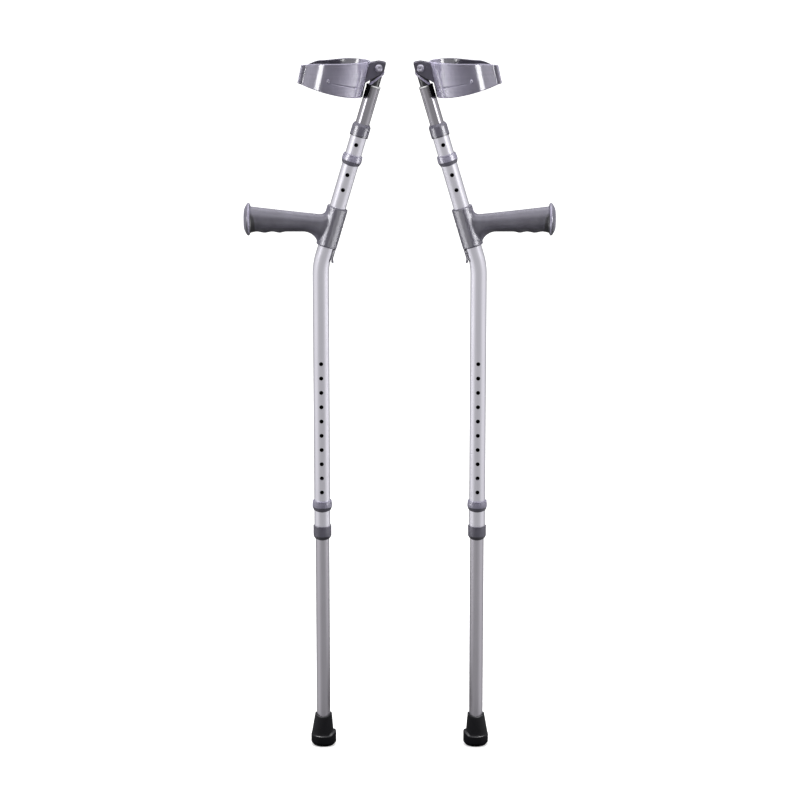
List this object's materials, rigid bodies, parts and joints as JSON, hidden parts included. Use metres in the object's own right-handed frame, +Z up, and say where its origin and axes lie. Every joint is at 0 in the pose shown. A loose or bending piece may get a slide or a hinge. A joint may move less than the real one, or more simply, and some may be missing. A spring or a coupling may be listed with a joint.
{
  "type": "pair of forearm crutches",
  "caption": "Pair of height-adjustable forearm crutches with bent tubes, moulded handles, swivelling open cuffs and rubber feet.",
  "frame": {"origin": "on the floor, midway between the two crutches, on the plane through both tubes", "axes": "+Z up along the crutches, +X from the left crutch to the right one as pictured, +Y away from the viewer; the handles point outwards along X"},
  "size_m": [0.4196, 0.0987, 0.9566],
  "materials": {
    "tube": "anodised, satin sheen",
    "satin": "anodised, darker satin",
    "fitting": "moulded, semi-matt",
    "grip": "moulded, semi-matt",
    "cuff": "moulded, semi-gloss",
    "dark": "moulded nylon",
    "rubber": "moulded, matt",
    "steel": "plated"
  },
  "bodies": {
    "left_frame": {"left_outer_tube": "tube", "left_leg_collar": "fitting", "left_forearm_collar": "fitting", "left_handle": "grip", "left_handle_core": "tube", "left_handle_end_plug": "dark", "left_handle_screw": "steel"},
    "left_leg": {"left_leg_tube": "satin", "left_leg_tube_bush": "fitting", "left_ferrule": "rubber", "left_ferrule_washer": "steel"},
    "left_leg_clip": {"left_leg_clip": "fitting"},
    "left_forearm": {"left_forearm_tube": "satin", "left_forearm_tube_bush": "fitting", "left_cuff_plug": "dark"},
    "left_forearm_clip": {"left_forearm_clip": "fitting"},
    "left_cuff": {"left_cuff": "cuff", "left_cuff_bracket": "dark", "left_cuff_rivet": "steel", "left_cuff_rivet_washer": "steel", "left_cuff_screw_upper": "steel", "left_cuff_screw_lower": "steel"},
    "right_frame": {"right_outer_tube": "tube", "right_leg_collar": "fitting", "right_forearm_collar": "fitting", "right_handle": "grip", "right_handle_core": "tube", "right_handle_end_plug": "dark", "right_handle_screw": "steel"},
    "right_leg": {"right_leg_tube": "satin", "right_leg_tube_bush": "fitting", "right_ferrule": "rubber", "right_ferrule_washer": "steel"},
    "right_leg_clip": {"right_leg_clip": "fitting"},
    "right_forearm": {"right_forearm_tube": "satin", "right_forearm_tube_bush": "fitting", "right_cuff_plug": "dark"},
    "right_forearm_clip": {"right_forearm_clip": "fitting"},
    "right_cuff": {"right_cuff": "cuff", "right_cuff_bracket": "dark", "right_cuff_rivet": "steel", "right_cuff_rivet_washer": "steel", "right_cuff_screw_upper": "steel", "right_cuff_screw_lower": "steel"}
  },
  "joints": [
    {"name": "left_leg_slide", "type": "slide", "parent": "left_frame", "child": "left_leg", "axis": [0, 0, 1], "range_m": [0, 0.2]},
    {"name": "left_forearm_slide", "type": "slide", "parent": "left_frame", "child": "left_forearm", "axis": [0.2857, 0, 0.9583], "range_m": [-0.0325, 0.021]},
    {"name": "left_cuff_swivel", "type": "hinge", "parent": "left_forearm", "child": "left_cuff", "pos_m": [-0.02764, 0, 0.94736], "axis": [0, 1, 0], "range_deg": [0, 50]},
    {"name": "left_leg_clip_pull", "type": "slide", "parent": "left_leg", "child": "left_leg_clip", "axis": [0, -1, 0], "range_m": [0, 0.0045], "deforming": ["left_leg_clip"]},
    {"name": "left_forearm_clip_pull", "type": "slide", "parent": "left_forearm", "child": "left_forearm_clip", "axis": [0, -1, 0], "range_m": [0, 0.0045], "deforming": ["left_forearm_clip"]},
    {"name": "right_leg_slide", "type": "slide", "parent": "right_frame", "child": "right_leg", "axis": [0, 0, 1], "range_m": [0, 0.2]},
    {"name": "right_forearm_slide", "type": "slide", "parent": "right_frame", "child": "right_forearm", "axis": [-0.2857, 0, 0.9583], "range_m": [-0.0325, 0.021]},
    {"name": "right_cuff_swivel", "type": "hinge", "parent": "right_forearm", "child": "right_cuff", "pos_m": [0.02764, 0, 0.94736], "axis": [0, -1, 0], "range_deg": [0, 50]},
    {"name": "right_leg_clip_pull", "type": "slide", "parent": "right_leg", "child": "right_leg_clip", "axis": [0, -1, 0], "range_m": [0, 0.0045], "deforming": ["right_leg_clip"]},
    {"name": "right_forearm_clip_pull", "type": "slide", "parent": "right_forearm", "child": "right_forearm_clip", "axis": [0, -1, 0], "range_m": [0, 0.0045], "deforming": ["right_forearm_clip"]},
    {"name": "right_crutch_lift", "type": "slide", "parent": "left_frame", "child": "right_frame", "axis": [0, 0, 1], "range_m": [0, 0.3]}
  ]
}
